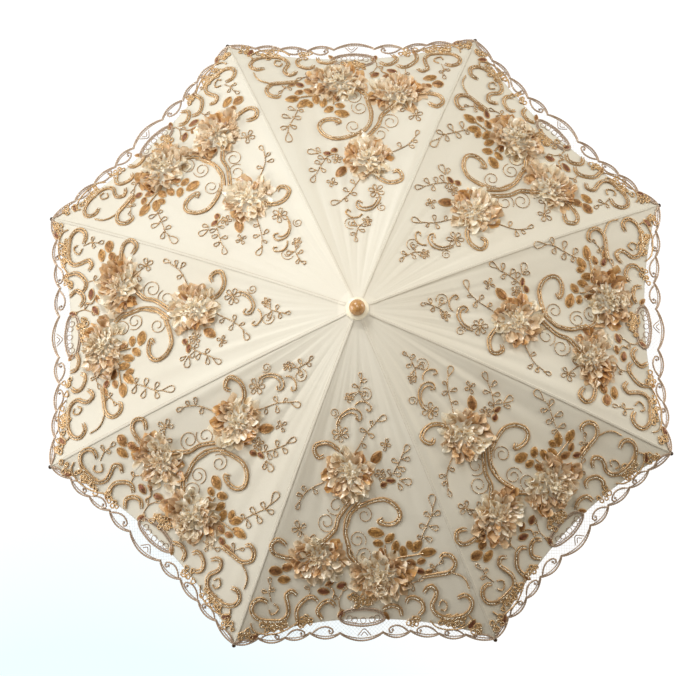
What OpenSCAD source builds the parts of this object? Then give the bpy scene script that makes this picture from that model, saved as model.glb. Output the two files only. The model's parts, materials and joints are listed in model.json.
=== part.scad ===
// Lace parasol, drawn open. Millimetres, +Z up the shaft, origin at the middle of the hand grip.
// Eight ribs hang from a slotted crown and are spread by eight stretchers, which stand on one runner.

/* [Canopy] */
// Radius of the circle through the rib tips when open
tip_r = 420; // [390:5:440]
// Height of the crown hinges above the rib tips when open
dome_h = 138; // [125:1:150]
// Rise of each curved rib above its own chord
rib_bow = 16; // [12:1:20]
// Sag of the cloth between two ribs, half way down the gore
panel_sag = 3; // [0:0.5:6]
// Thickness of the cloth with its lace
cloth_t = 0.8; // [0.6:0.1:1.2]

/* [Ribs and stretchers] */
// Width of the U channel that a rib is rolled from
rib_w = 3; // [2.6:0.1:3.2]
// Depth of the U channel
rib_h = 2.6; // [2.2:0.1:2.8]
// Distance along the rib from the crown hinge to the stretcher's pivot
pivot_s = 185; // [175:1:195]
// Diameter of a stretcher's rod
stretcher_d = 2.2; // [1.8:0.1:2.4]

/* [Shaft and handle] */
// Height of the crown hinges above the middle of the grip
crown_z = 530; // [525:1:540]
// Outer radius of the steel shaft
shaft_r = 5; // [5:0.1:5.2]
// Wall of the shaft tube
shaft_wall = 0.8; // [0.6:0.1:1]
// Radius of the straight wooden grip
grip_r = 12; // [10.5:0.5:13]
// Length of the straight wooden grip
grip_l = 70; // [60:2:80]
// Radius of the finial ball
ball_r = 9.9; // [9:0.1:11]
// Radius of the ivory collar under the ball
collar_r = 14; // [12.5:0.5:15]

/* [Hidden] */

$fn = 96;
ribs = 8;
half_gore = 180 / ribs;
fit = 0.06;
glued = 0.02;
eps = 0.01;

// Hinge wires run in an eight-sided ring through the eyes of the ribs or of the stretchers.
hinge_r = 8.5;
wire_r = 0.6;
wire_bore_r = wire_r + 0.05;
eye_r = 1.7;
eye_t = 1.6;
slot_w = 2.2;
slot_root_r = 6.3;
hub_r = 10.5;
arm_l = 6.5;

// A rib is an arc in its own upright plane, from the crown hinge to the tip. Points there are [radius, height].
hinge = [hinge_r, crown_z];
tip = [tip_r, crown_z - dome_h];
chord = norm(tip - hinge);
chord_drop = atan2(dome_h, tip_r - hinge_r);
arc_r = chord * chord / (8 * rib_bow) + rib_bow / 2;
arc_half = asin(chord / 2 / arc_r);
arc_mid = 90 - chord_drop;
arc_centre = (hinge + tip) / 2 - (arc_r - rib_bow) * [cos(arc_mid), sin(arc_mid)];
root_a = arc_mid + arc_half;
tip_a = arc_mid - arc_half;
arc_fn = 1440;
function arc_point(a, off = 0) = arc_centre + (arc_r + off) * [cos(a), sin(a)];
function along(s) = s / arc_r * 180 / PI;

// The stretcher's pivot hangs below the rib. The runner's hinge is its mirror image of the crown hinge.
pivot_drop = 5;
pivot_a = root_a - along(pivot_s);
pivot = arc_point(pivot_a, -pivot_drop);
link_l = norm(pivot - hinge);
runner_z = 2 * pivot[1] - crown_z;
open_a = acos((crown_z - pivot[1]) / link_l);
fold_a = 70;
closed_a = open_a - fold_a;
closed_runner_z = crown_z - 2 * link_l * cos(closed_a);
pin_r = 0.8;

// Joiner bracket
ear_t = 0.8;
joiner_l = 8;
joiner_web = 0.4;

// Runner
sleeve_r = 7;
sleeve_top = runner_z - 8;
sleeve_bottom = runner_z - 44;
ring_h = 4;
ring_r = 9;
window_bottom = 34;
window_top = 16;
window_w = 3;

// Catches: a nose that stands out of the shaft on an arm inside it
nose_r = 8.4;
catch_l = 30;
catch_x = 1.2;
catch_t = 1.8;
catch_slot_w = 2.4;
catch_slot_l = 19.8;
catch_slot_over = 0.8;
upper_flat_z = sleeve_bottom - 0.3;
lower_flat_z = closed_runner_z - window_bottom + 0.4;

// Crown, collar and finial heights
notch_low = 4;
notch_flange = 2;
notch_top = 3.4;
rosette_z = crown_z + 3.6;
rosette_t = 0.8;
rosette_r = 16;
collar_h = 3;
collar_z = rosette_z + rosette_t;
ball_cut_z = collar_z + collar_h;
ball_z = ball_cut_z + 4.1;
shaft_top = ball_z + 3.5;
shaft_bottom = 8;

// Handle
grip_top = grip_l / 2;
handle_top = grip_top + 33;
dome_l = 9;
neck_r = 7.6;
ferrule_h = 9;
ferrule_t = 0.8;
button_r = 4;

// Cloth
canopy_lift = 2.6;
canopy_r0 = 15;
canopy_gap = 0.4;
canopy_rows = 12;
canopy_cols = 4;
tip_cap_r = 2.4;
tip_cap_l = 4;

module at_rib(k) {
    rotate([0, 0, half_gore + (k - 1) * 2 * half_gore]) children();
}

module around() {
    for (k = [1:ribs]) at_rib(k) children();
}

// A bar across the rib plane at a [radius, height] point
module cross(at, r, l) {
    translate([at[0], 0, at[1]]) rotate([90, 0, 0]) cylinder(r = r, h = l, center = true);
}

// The arc's own frame at one angle: X runs out along the rib, Z points away from the cloth's inside
module on_arc(a, off = 0) {
    p = arc_point(a, off);
    translate([p[0], 0, p[1]]) rotate([0, 90 - a, 0]) children();
}

// A profile drawn about the arc's centreline, swept between two angles
module arc_sweep(from, to) {
    translate([arc_centre[0], 0, arc_centre[1]]) rotate([90, 0, 0]) rotate([0, 0, from])
        rotate_extrude(angle = to - from, $fn = arc_fn) translate([arc_r, 0]) children();
}

// ---------- shaft ----------

module catch_slot(flat_z, up) {
    low = up > 0 ? flat_z + catch_slot_over - catch_slot_l : flat_z - catch_slot_over;
    translate([0, -catch_slot_w / 2, low]) cube([shaft_r + 1, catch_slot_w, catch_slot_l]);
}

module shaft_tube() {
    color("gainsboro") difference() {
        translate([0, 0, shaft_bottom]) cylinder(r = shaft_r, h = shaft_top - shaft_bottom);
        translate([0, 0, shaft_bottom - 1]) cylinder(r = shaft_r - shaft_wall, h = shaft_top - shaft_bottom + 2);
        catch_slot(upper_flat_z, 1);
        catch_slot(lower_flat_z, -1);
        cross([catch_x, upper_flat_z - catch_l], pin_r + glued, 3 * shaft_r);
        cross([catch_x, lower_flat_z + catch_l], pin_r + glued, 3 * shaft_r);
        stop_pin(glued);
        rivet(glued);
    }
}

module wire_ring(z, grow) {
    side = 2 * hinge_r * tan(half_gore) + 0.5;
    around() cross([hinge_r, z], wire_r + grow, side + grow);
}

module hinge_slots(low, high) {
    around() translate([slot_root_r, -slot_w / 2, low]) cube([hub_r, slot_w, high - low]);
}

module crown_notch() {
    color("ivory") difference() {
        translate([0, 0, crown_z - notch_low]) cylinder(r = hub_r, h = notch_low + notch_top);
        translate([0, 0, crown_z - 20]) cylinder(r = shaft_r + glued, h = 40);
        hinge_slots(crown_z - notch_low - 1, crown_z + notch_flange);
        wire_ring(crown_z, glued);
        rivet(glued);
    }
}

module crown_wire() {
    color("silver") wire_ring(crown_z, 0);
}

// A cross rivet under the wire keeps the notch on the shaft
module rivet(grow) {
    translate([0, 0, crown_z - 2.6]) rotate([0, 90, 0])
        cylinder(r = pin_r + grow, h = 2 * hub_r - 1.6 + 2 * grow, center = true);
}

module crown_rivet() {
    color("silver") rivet(0);
}

module top_rosette() {
    color("ivory") translate([0, 0, rosette_z]) rotate([0, 0, half_gore]) linear_extrude(rosette_t) difference() {
        circle(r = rosette_r, $fn = 8);
        circle(r = shaft_r + glued);
    }
}

module finial_collar() {
    lip = 1;
    color("ivory") rotate_extrude() polygon([
        [shaft_r + glued, collar_z], [collar_r, collar_z], [collar_r, collar_z + lip],
        [ball_r - 0.2, ball_cut_z], [shaft_r + glued, ball_cut_z]]);
}

module finial_ball() {
    color("peru") difference() {
        translate([0, 0, ball_z]) sphere(r = ball_r);
        translate([0, 0, ball_cut_z - 2 * ball_r]) cylinder(r = 2 * ball_r, h = 2 * ball_r);
        translate([0, 0, ball_cut_z - 1]) cylinder(r = shaft_r + glued, h = shaft_top - ball_cut_z + 1.3);
    }
}

module stop_pin(grow) {
    translate([0, 0, runner_z + 4 + 0.4 + pin_r]) rotate([0, 90, 0])
        cylinder(r = pin_r + grow, h = 2 * (shaft_r + 1.8), center = true);
}

module runner_stop() {
    color("silver") stop_pin(0);
}

module catch_pins() {
    color("silver") {
        cross([catch_x, upper_flat_z - catch_l], pin_r, 2 * (shaft_r - 0.5));
        cross([catch_x, lower_flat_z + catch_l], pin_r, 2 * (shaft_r - 0.5));
    }
}

// ---------- handle ----------

module handle() {
    low = -grip_top;
    neck_z = handle_top - ferrule_h + 1;
    color("peru") difference() {
        rotate_extrude() union() {
            translate([0, low]) square([grip_r, grip_l]);
            translate([0, grip_top - eps]) polygon([
                [0, 0], [grip_r, 0], [grip_r - 1.2, 3], [neck_r + 2.2, 14], [neck_r + 0.9, 22],
                [neck_r + 0.9, neck_z - grip_top], [neck_r, neck_z - grip_top],
                [neck_r, handle_top - grip_top], [0, handle_top - grip_top]]);
            intersection() {
                translate([0, low]) circle(r = grip_r);
                translate([0, low - dome_l]) square([grip_r, dome_l + eps]);
            }
        }
        translate([0, 0, shaft_bottom - 0.3]) cylinder(r = shaft_r + glued, h = 200);
    }
}

module handle_ferrule() {
    low = handle_top - ferrule_h + 1;
    color("goldenrod") rotate_extrude() polygon([
        [neck_r + glued, low], [neck_r + ferrule_t, low], [neck_r + ferrule_t, low + 1.5],
        [neck_r + 0.5, low + 2], [neck_r + 0.5, handle_top - 0.5], [neck_r, handle_top + ferrule_t],
        [shaft_r + glued, handle_top + ferrule_t], [shaft_r + glued, handle_top],
        [neck_r + glued, handle_top]]);
}

module handle_button() {
    color("goldenrod") translate([0, 0, -grip_top - dome_l - 2]) cylinder(r = button_r, h = 2);
}

// ---------- catches ----------

// Drawn with the flat at height 0 facing up and the arm below it
module catch_blade() {
    difference() {
        union() {
            rotate([90, 0, 0]) linear_extrude(catch_t, center = true) polygon([
                [nose_r, 0], [nose_r, -1.2], [4.4, -17], [3, -19], [3, -catch_l], [-0.6, -catch_l],
                [-0.6, -17], [1, 0]]);
            cross([catch_x, -catch_l], 2.2, catch_t);
        }
        cross([catch_x, -catch_l], pin_r + fit, 10);
    }
}

module upper_catch() {
    color("silver") translate([0, 0, upper_flat_z]) catch_blade();
}

module lower_catch() {
    color("silver") translate([0, 0, lower_flat_z]) mirror([0, 0, 1]) catch_blade();
}

// ---------- runner ----------

module runner_hub() {
    color("ivory") difference() {
        union() {
            translate([0, 0, runner_z - 4]) cylinder(r = hub_r, h = 8);
            translate([0, 0, sleeve_top]) cylinder(r = ring_r, h = 4);
        }
        translate([0, 0, sleeve_top - 1]) cylinder(r = shaft_r + fit, h = 20);
        hinge_slots(runner_z - 2.2, runner_z + 5);
        wire_ring(runner_z, glued);
    }
}

module runner_wire() {
    color("silver") wire_ring(runner_z, 0);
}

module runner_sleeve() {
    color("ivory") difference() {
        translate([0, 0, sleeve_bottom]) cylinder(r = sleeve_r, h = sleeve_top - sleeve_bottom);
        translate([0, 0, sleeve_bottom - 1]) cylinder(r = shaft_r + fit, h = 60);
        translate([0, -window_w / 2, runner_z - window_bottom])
            cube([2 * sleeve_r, window_w, window_bottom - window_top]);
    }
}

module runner_ring() {
    color("goldenrod") translate([0, 0, sleeve_bottom]) difference() {
        cylinder(r = ring_r, h = ring_h);
        translate([0, 0, -1]) cylinder(r = sleeve_r + glued, h = ring_h + 2);
    }
}

// ---------- rib, its tip and its joiner ----------

module rib(k) {
    arm_end = root_a - along(arm_l + 2);
    channel_start = root_a - along(arm_l);
    groove_start = root_a - along(arm_l + 5);
    groove = rib_w - 1.2;
    web = 0.8;
    color("silver") at_rib(k) difference() {
        union() {
            arc_sweep(tip_a, channel_start) translate([-rib_h / 2, -rib_w / 2]) square([rib_h, rib_w]);
            arc_sweep(arm_end, root_a) translate([0.2 - rib_h / 2, -eye_t / 2]) square([rib_h - 0.4, eye_t]);
            cross(hinge, eye_r, eye_t);
        }
        arc_sweep(tip_a - 1, groove_start)
            translate([-rib_h / 2 - 1, -groove / 2]) square([rib_h - web + 1, groove]);
        cross(hinge, wire_bore_r, 10);
    }
}

module rib_tip(k) {
    color("saddlebrown") at_rib(k) on_arc(tip_a) difference() {
        union() {
            translate([-tip_cap_l, 0, 0]) rotate([0, 90, 0]) cylinder(r = tip_cap_r, h = tip_cap_l + 2);
            translate([2, 0, 0]) sphere(r = tip_cap_r + 0.2);
        }
        translate([-tip_cap_l - 1, -rib_w / 2 - glued, -rib_h / 2 - glued])
            cube([tip_cap_l + 1, rib_w + 2 * glued, rib_h + 2 * glued]);
    }
}

// A clip over the rib with two ears below it and a rivet between them
module joiner(k) {
    top = pivot_drop + rib_h / 2 + joiner_web;
    half_w = rib_w / 2 + ear_t;
    color("silver") at_rib(k) on_arc(pivot_a, -pivot_drop) {
        difference() {
            union() {
                translate([-joiner_l / 2, -half_w, 1]) cube([joiner_l, 2 * half_w, top - 1]);
                rotate([90, 0, 0]) cylinder(r = 2.8, h = 2 * half_w, center = true);
            }
            translate([-joiner_l, -rib_w / 2 - glued, -joiner_l])
                cube([2 * joiner_l, rib_w + 2 * glued, joiner_l + top - joiner_web + glued]);
        }
        rotate([90, 0, 0]) cylinder(r = pin_r, h = 2 * half_w + 1, center = true);
    }
}

// ---------- stretcher ----------

module stretcher(k) {
    rod_start = arm_l;
    rod_end = link_l - 6;
    color("silver") at_rib(k) translate([hinge_r, 0, runner_z]) rotate([0, -90 + open_a, 0]) difference() {
        union() {
            translate([rod_start, 0, 0]) rotate([0, 90, 0]) cylinder(d = stretcher_d, h = rod_end - rod_start);
            translate([0, -eye_t / 2, -1]) cube([arm_l + 2, eye_t, 2]);
            translate([rod_end - 2, -eye_t / 2, -1]) cube([link_l - rod_end + 2, eye_t, 2]);
            cross([0, 0], eye_r, eye_t);
            cross([link_l, 0], eye_r + 0.2, eye_t);
        }
        cross([0, 0], wire_bore_r, 10);
        cross([link_l, 0], pin_r + fit, 10);
    }
}

// ---------- cloth ----------

// Height of the cloth's underside over the ribs
function cloth_z(r) = arc_centre[1] + sqrt(pow(arc_r + canopy_lift, 2) - pow(r - arc_centre[0], 2));

// One point of the cloth beside a rib. across runs from -1 to 1, from one mid-gore line to the other.
function cloth_point(down, across, up) =
    let (
        r = canopy_r0 + (tip_r - 1 - canopy_r0) * down,
        side = across * (1 - canopy_gap / 2 / (r * sin(half_gore))),
        w = abs(side),
        sag = panel_sag * (1 - pow(1 - w, 2)) * sin(180 * down))
    [r * (1 - w * pow(sin(half_gore), 2)), side * r * sin(half_gore) * cos(half_gore), cloth_z(r) - sag + up];

// The two half gores that are stitched to one rib, with the lace edge beyond the hem
module canopy(k) {
    cols = 2 * canopy_cols;
    row = cols + 1;
    layer = row * (canopy_rows + 1);
    points = [
        for (up = [0, cloth_t]) for (i = [0:canopy_rows]) for (j = [0:cols])
            cloth_point(i / canopy_rows, j / canopy_cols - 1, up)];
    faces = concat(
        [for (i = [0:canopy_rows - 1]) for (j = [0:cols - 1]) for (t = [0, 1]) let (a = i * row + j)
            t == 0 ? [a, a + row, a + row + 1] : [a, a + row + 1, a + 1]],
        [for (i = [0:canopy_rows - 1]) for (j = [0:cols - 1]) for (t = [0, 1]) let (a = layer + i * row + j)
            t == 0 ? [a + row + 1, a + row, a] : [a + 1, a + row + 1, a]],
        [for (j = [0:cols - 1]) [j, j + 1, layer + j + 1, layer + j]],
        [for (j = [0:cols - 1]) let (a = canopy_rows * row + j) [a + 1, a, layer + a, layer + a + 1]],
        [for (i = [0:canopy_rows - 1]) let (a = i * row) [a + row, a, layer + a, layer + a + row]],
        [for (i = [0:canopy_rows - 1]) let (a = i * row + cols) [a, a + row, layer + a + row, layer + a]]);
    color("antiquewhite") at_rib(k) polyhedron(points, faces, convexity = 6);
}

shaft_tube();
crown_notch();
crown_wire();
crown_rivet();
top_rosette();
finial_collar();
finial_ball();
runner_stop();
catch_pins();
handle();
handle_ferrule();
handle_button();
runner_hub();
runner_sleeve();
runner_ring();
runner_wire();
upper_catch();
lower_catch();
for (k = [1:ribs]) {
    rib(k);
    rib_tip(k);
    joiner(k);
    canopy(k);
    stretcher(k);
}
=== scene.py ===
"""Lace parasol: satin gores, corded lace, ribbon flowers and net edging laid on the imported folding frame."""
import json
import math
import random

import bpy
import numpy as np
from mathutils import Matrix, Vector


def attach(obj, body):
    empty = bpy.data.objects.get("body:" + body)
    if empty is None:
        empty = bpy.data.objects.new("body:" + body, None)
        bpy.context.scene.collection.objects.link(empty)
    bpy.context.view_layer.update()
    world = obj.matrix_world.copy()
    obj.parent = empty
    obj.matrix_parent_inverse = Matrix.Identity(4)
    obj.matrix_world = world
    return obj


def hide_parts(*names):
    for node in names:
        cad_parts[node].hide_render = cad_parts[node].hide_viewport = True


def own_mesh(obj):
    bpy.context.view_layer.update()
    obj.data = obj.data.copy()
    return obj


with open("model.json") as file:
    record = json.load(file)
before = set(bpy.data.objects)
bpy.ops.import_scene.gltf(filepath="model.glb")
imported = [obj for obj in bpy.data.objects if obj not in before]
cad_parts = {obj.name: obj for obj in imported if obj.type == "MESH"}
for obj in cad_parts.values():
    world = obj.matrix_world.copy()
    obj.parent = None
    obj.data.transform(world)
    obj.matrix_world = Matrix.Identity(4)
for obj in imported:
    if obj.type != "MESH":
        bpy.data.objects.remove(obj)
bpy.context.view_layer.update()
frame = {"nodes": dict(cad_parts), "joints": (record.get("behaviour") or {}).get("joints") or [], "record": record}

# ---------- sizes, in metres ----------

MM = 0.001
GORES = 8
HALF = math.pi / GORES
TIP_R = 0.420            # crown axis to rib tip
DOME = 0.138             # crown hinges to rib tips, down
BOW = 0.016              # how far a rib bows above its chord
CLOTH_LIFT = 0.0021      # underside of the cloth above the rib's arc
CLOTH_T = 0.0004         # thickness of the satin
CROWN_TOP = 0.0033       # cloth under the rosette, above the crown hinges
PANEL_SAG = 0.003        # the gore dips this much between two ribs
HEM_ARCH = 0.026         # the hem arches in this much between two tips
CLOTH_R0 = 0.0065        # hole in the cloth round the shaft
SEAM_START = 0.014       # the seams over the ribs start this far from the axis, under the rosette
HEAVY_CORD = 0.00145     # radius of a scroll's main cord
LIGHT_CORD = 0.00105     # radius of the cord beside it
CORD_GAP = 0.0031        # between the middles of those two cords
THREAD = 0.00062         # radius of a sprig's thread
NET_THREAD = 0.00014     # radius of the net's thread
NET_PITCH = 0.0046       # between two net threads, along the hem
FLOOR_Z = -0.45          # the floor, well below the handle

crown = next(j for j in frame["joints"] if j["name"] == "canopy_fold")["pos_m"]
CROWN_Z = crown[2]
HINGE_R = math.hypot(crown[0], crown[1])
TIP_Y = TIP_R * math.cos(HALF)
HALF_SPAN = TIP_R * math.sin(HALF)

chord = math.hypot(TIP_R - HINGE_R, DOME)
ARC_R = chord ** 2 / (8 * BOW) + BOW / 2
chord_tilt = math.atan2(DOME, TIP_R - HINGE_R)
ARC_X = (HINGE_R + TIP_R) / 2 - (ARC_R - BOW) * math.sin(chord_tilt)
ARC_Z = CROWN_Z - DOME / 2 - (ARC_R - BOW) * math.cos(chord_tilt)   # centre of every rib's arc


# ---------- camera ----------

def add_camera():
    """The camera stands high in front of the canopy, turned a little, and looks just beside the crown."""
    elevation, roll, distance = math.radians(76.56), math.radians(-1.27), 3.0
    aim_left, aim_down = 0.0215, 0.0346
    target = Vector((0, 0, CROWN_Z))
    back = Vector((0, -math.cos(elevation), math.sin(elevation)))
    right = Vector((1, 0, 0))
    up = back.cross(right)
    turned_right = right * math.cos(roll) + up * math.sin(roll)
    turned_up = up * math.cos(roll) - right * math.sin(roll)
    place = target + back * distance
    aim = target - turned_right * aim_left - turned_up * aim_down
    view = (place - aim).normalized()
    side = turned_up.cross(view).normalized()
    camera = bpy.data.objects.new("camera", bpy.data.cameras.new("camera"))
    camera.data.lens = 131
    camera.data.clip_end = 20
    camera.matrix_world = Matrix.Translation(place) @ Matrix(
        (side, view.cross(side), view)).transposed().to_4x4()
    bpy.context.scene.collection.objects.link(camera)
    bpy.context.scene.camera = camera


add_camera()


# ---------- the canopy's surface ----------
# Gore coordinates: y runs out along the middle of the gore, and x across it, counter-clockwise from above.

def smooth(t):
    """0 below 0, 1 above 1, and an even turn between them."""
    t = np.clip(t, 0, 1)
    return t * t * (3 - 2 * t)


def cloth_height(r):
    """Height of the cloth's underside over a rib, r from the axis."""
    z = ARC_Z + np.sqrt((ARC_R + CLOTH_LIFT) ** 2 - (r - ARC_X) ** 2)
    over_crown = smooth((0.026 - r) / 0.014)
    return z + np.maximum(0, CROWN_Z + CROWN_TOP - z) * over_crown


RIPPLES = [
    # waves round the canopy, height in mm, phase, radius of the strongest part, its width
    (16, 0.80, 0.4, 0.26, 0.13),
    (24, 0.45, 1.9, 0.20, 0.10),
    (40, 0.34, 2.6, 0.15, 0.09),
    (56, 0.26, 0.9, 0.24, 0.12),
    (88, 0.16, 4.1, 0.17, 0.10),
    (104, 0.14, 5.0, 0.34, 0.06),
    (144, 0.09, 1.1, 0.09, 0.05),
]
CREASES = [
    # pressed folds: azimuth and half spread in degrees, radius, slant in mm a degree, height in mm
    (283, 9, 0.262, 0.8, 0.22), (262, 8, 0.186, -0.9, 0.20), (318, 10, 0.145, 0.7, 0.22),
    (305, 7, 0.238, -0.6, 0.18), (352, 9, 0.215, 0.9, 0.20), (12, 8, 0.130, -0.7, 0.20),
    (40, 10, 0.175, 0.6, 0.20), (78, 9, 0.150, -0.8, 0.20), (100, 8, 0.235, 0.7, 0.20),
    (130, 10, 0.160, 0.9, 0.22), (171, 9, 0.140, -0.6, 0.20), (190, 8, 0.225, 0.8, 0.20),
    (218, 10, 0.120, 0.7, 0.22), (240, 8, 0.250, -0.8, 0.20),
]


def ripple(angle, r):
    """Soft radial waves of the stretched satin, and the fine creases left where it was folded."""
    crease_width = 0.0024
    z = np.zeros_like(r)
    for waves, mm, phase, middle, width in RIPPLES:
        drift = phase + 1.3 * np.sin(3 * angle + phase)
        z = z + mm * MM * np.cos(waves * angle + drift) * np.exp(-((r - middle) / width) ** 2)
    for azimuth, spread, radius, slant, mm in CREASES:
        off = np.degrees(np.angle(np.exp(1j * (angle - math.radians(azimuth)))))
        line = (r - radius - slant * MM * off) / crease_width
        z = z + mm * MM * np.exp(-line ** 2) * smooth(1 - np.abs(off) / spread)
    return z


def on_canopy(x, y, azimuth):
    """Points of the cloth's underside, for gore coordinates x, y in the gore whose middle lies at azimuth."""
    held = 0.015    # the rosette holds the cloth this far out
    y = np.maximum(y, 1e-4)
    r = y / math.cos(HALF)
    across = 1 - np.clip(np.abs(x) / (y * math.tan(HALF)), 0, 1)
    down = np.clip((r - held) / (TIP_R - held), 0, 1)
    dip = PANEL_SAG * (1 - (1 - across) ** 2) * np.sin(np.pi * down)
    east = y * math.cos(azimuth) - x * math.sin(azimuth)
    north = y * math.sin(azimuth) + x * math.cos(azimuth)
    angle = np.arctan2(north, east)
    free = smooth(across / 0.12)
    z = cloth_height(r) - dip + ripple(angle, r) * free
    return np.stack([east, north, z], -1)


def cloth_normal(x, y, azimuth):
    """Unit vectors that stand up off the cloth."""
    step = 0.0015
    dx = on_canopy(x + step, y, azimuth) - on_canopy(x - step, y, azimuth)
    dy = on_canopy(x, y + step, azimuth) - on_canopy(x, y - step, azimuth)
    n = np.cross(dx, dy)
    n /= np.linalg.norm(n, axis=-1, keepdims=True)
    return n * np.where(n[..., 2:3] < 0, -1, 1)


def lay(points, azimuth):
    """Gore points (x, y, height above the cloth's underside) in the CAD's own frame."""
    x, y, h = points[..., 0], points[..., 1], points[..., 2]
    return on_canopy(x, y, azimuth) + cloth_normal(x, y, azimuth) * h[..., None]


LACE_PLACE = {
    # the lace was sewn on by hand: each gore's azimuth, and how far its lace lies across and out, in mm
    270: (0, 0), 315: (0, 0), 0: (7, 3), 45: (4, 8),
    90: (-3, 14), 135: (-3, 13), 180: (-5, 7), 225: (-4, 2),
}


def sewn(points, azimuth):
    """Gore points moved to where this gore's lace was sewn, less so near the hem."""
    across, out = LACE_PLACE[round(math.degrees(azimuth)) % 360]
    share = 1 - 0.7 * smooth((points[..., 1:2] - 0.31) / 0.07)
    return points + np.array([across, out, 0]) * MM * share


def hem_y(x):
    """Where the satin ends, out from the axis."""
    return TIP_Y - HEM_ARCH * (1 - (np.minimum(np.abs(x) / HALF_SPAN, 1)) ** 2.1)


# ---------- meshes ----------

class Patch:
    """Vertices and quads gathered before they become a mesh, each vertex with two values from 0 to 1.

    tone is the piece's own shade, and tip is how far a vertex lies from the fold or groove to the lip; the petals'
    material paints shade and highlight from tip, and the leaves' material paints highlight from it.
    """

    def __init__(self):
        self.points, self.quads, self.tone, self.tip, self.count = [], [], [], [], 0

    def grid(self, points, tone=0.5, tip=None, wrap=False):
        """A grid of rows by columns of points; wrap joins the last column to the first."""
        rows, cols = points.shape[:2]
        index = np.arange(rows * cols).reshape(rows, cols) + self.count
        if wrap:
            index = np.hstack([index, index[:, :1]])
        a, b = index[:-1, :-1], index[:-1, 1:]
        c, d = index[1:, 1:], index[1:, :-1]
        self.quads.append(np.stack([a, b, c, d], -1).reshape(-1, 4))
        self.points.append(points.reshape(-1, 3))
        self.tone.append(np.full(rows * cols, tone))
        self.tip.append(np.full(rows * cols, 0.5) if tip is None else np.asarray(tip).reshape(-1))
        self.count += rows * cols

    def lay(self, azimuth, applied):
        """Everything gathered so far, laid on the canopy; applied lace takes its gore's own place."""
        points = np.concatenate(self.points)
        if applied:
            points = sewn(points, azimuth)
        self.points = [lay(points, azimuth)]


def make_object(name, patch, material, smooth_faces=True, normals=None):
    """A mesh object from a patch, with its tone and tip kept for the material."""
    points = np.concatenate(patch.points)
    quads = np.concatenate(patch.quads).astype(np.int32)
    mesh = bpy.data.meshes.new(name)
    mesh.vertices.add(len(points))
    mesh.vertices.foreach_set("co", points.astype(np.float32).ravel())
    mesh.loops.add(quads.size)
    mesh.loops.foreach_set("vertex_index", quads.ravel())
    mesh.polygons.add(len(quads))
    mesh.polygons.foreach_set("loop_start", np.arange(0, quads.size, 4, dtype=np.int32))
    mesh.polygons.foreach_set("loop_total", np.full(len(quads), 4, dtype=np.int32))
    mesh.polygons.foreach_set("use_smooth", np.full(len(quads), smooth_faces))
    mesh.update()
    mesh.validate()
    if normals is not None:
        mesh.normals_split_custom_set_from_vertices(normals)
    for key, values in (("tone", patch.tone), ("tip", patch.tip)):
        attribute = mesh.attributes.new(key, "FLOAT", "POINT")
        attribute.data.foreach_set("value", np.concatenate(values).astype(np.float32))
    mesh.materials.append(material)
    made = bpy.data.objects.new(name, mesh)
    bpy.context.scene.collection.objects.link(made)
    return made


def spline(points, spacing, closed=False):
    """A smooth line through points, sampled about every spacing."""
    p = np.array(points, float)
    if closed:
        p = np.vstack([p[-1], p, p[0], p[1]])
    else:
        p = np.vstack([2 * p[0] - p[1], p, 2 * p[-1] - p[-2]])
    t = np.linspace(0, 1, 12, endpoint=False)[:, None]
    fine = []
    for a, b, c, d in zip(p[:-3], p[1:-2], p[2:-1], p[3:]):
        fine.append(0.5 * (2 * b + (c - a) * t + (2 * a - 5 * b + 4 * c - d) * t ** 2
                           + (3 * b - a - 3 * c + d) * t ** 3))
    fine = np.vstack(fine + [p[-2:-1]])
    run = np.concatenate([[0], np.cumsum(np.linalg.norm(np.diff(fine, axis=0), axis=1))])
    steps = max(4, int(run[-1] / spacing))
    at = np.linspace(0, run[-1], steps + 1)
    return np.stack([np.interp(at, run, fine[:, i]) for i in range(fine.shape[1])], -1)


def sideways(line):
    """Unit vectors to the left of each point of a line in the gore's plane."""
    along = np.gradient(line[:, :2], axis=0)
    along /= np.maximum(np.linalg.norm(along, axis=1, keepdims=True), 1e-12)
    return np.stack([-along[:, 1], along[:, 0]], -1)


def tube(patch, line, radius, sides, height, pitch=0.0, strands=2, depth=0.22, tone=0.5, taper=0.0):
    """A cord along line at height, its strands twisted once a pitch, its ends tapered over taper radii."""
    n = len(line)
    side = sideways(line)
    run = np.concatenate([[0], np.cumsum(np.linalg.norm(np.diff(line[:, :2], axis=0), axis=1))])
    turn = np.linspace(0, 2 * np.pi, sides, endpoint=False)
    size = np.full(n, radius)
    if taper:
        end = np.minimum(run, run[-1] - run) / (taper * radius)
        size = radius * (0.35 + 0.65 * smooth(end))
    wave = 1 + (depth * np.cos(strands * turn[None] - 2 * np.pi * run[:, None] / pitch) if pitch else 0)
    r = size[:, None] * wave * np.ones((n, sides))
    out, up = np.cos(turn)[None] * r, np.sin(turn)[None] * r
    points = np.empty((n, sides, 3))
    points[..., 0] = line[:, 0:1] + side[:, 0:1] * out
    points[..., 1] = line[:, 1:2] + side[:, 1:2] * out
    points[..., 2] = height + up
    tip = (up / radius * 0.5 + 0.5)
    patch.grid(points, tone, tip, wrap=True)
    for row in (0, -1):
        centre = points[row].mean(0)
        cap = np.stack([points[row], np.broadcast_to(centre, (sides, 3)) + (points[row] - centre) * 0.02])
        patch.grid(cap if row else cap[::-1], tone, None, wrap=True)


def bead(patch, x, y, h, size, spin, tone):
    """A small faceted bead, a short four-sided spindle."""
    turn = spin + np.linspace(0, 2 * np.pi, 4, endpoint=False)
    rings = [(0.02, -0.6), (1.0, 0.0), (0.02, 0.75)]    # width and height, in sizes
    points = np.array([[(x + size * w * math.cos(a), y + size * w * math.sin(a), h + size * u) for a in turn]
                       for w, u in rings])
    patch.grid(points, tone, None, wrap=True)


# ---------- the lace motif, in millimetres of the gore's plane ----------

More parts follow.
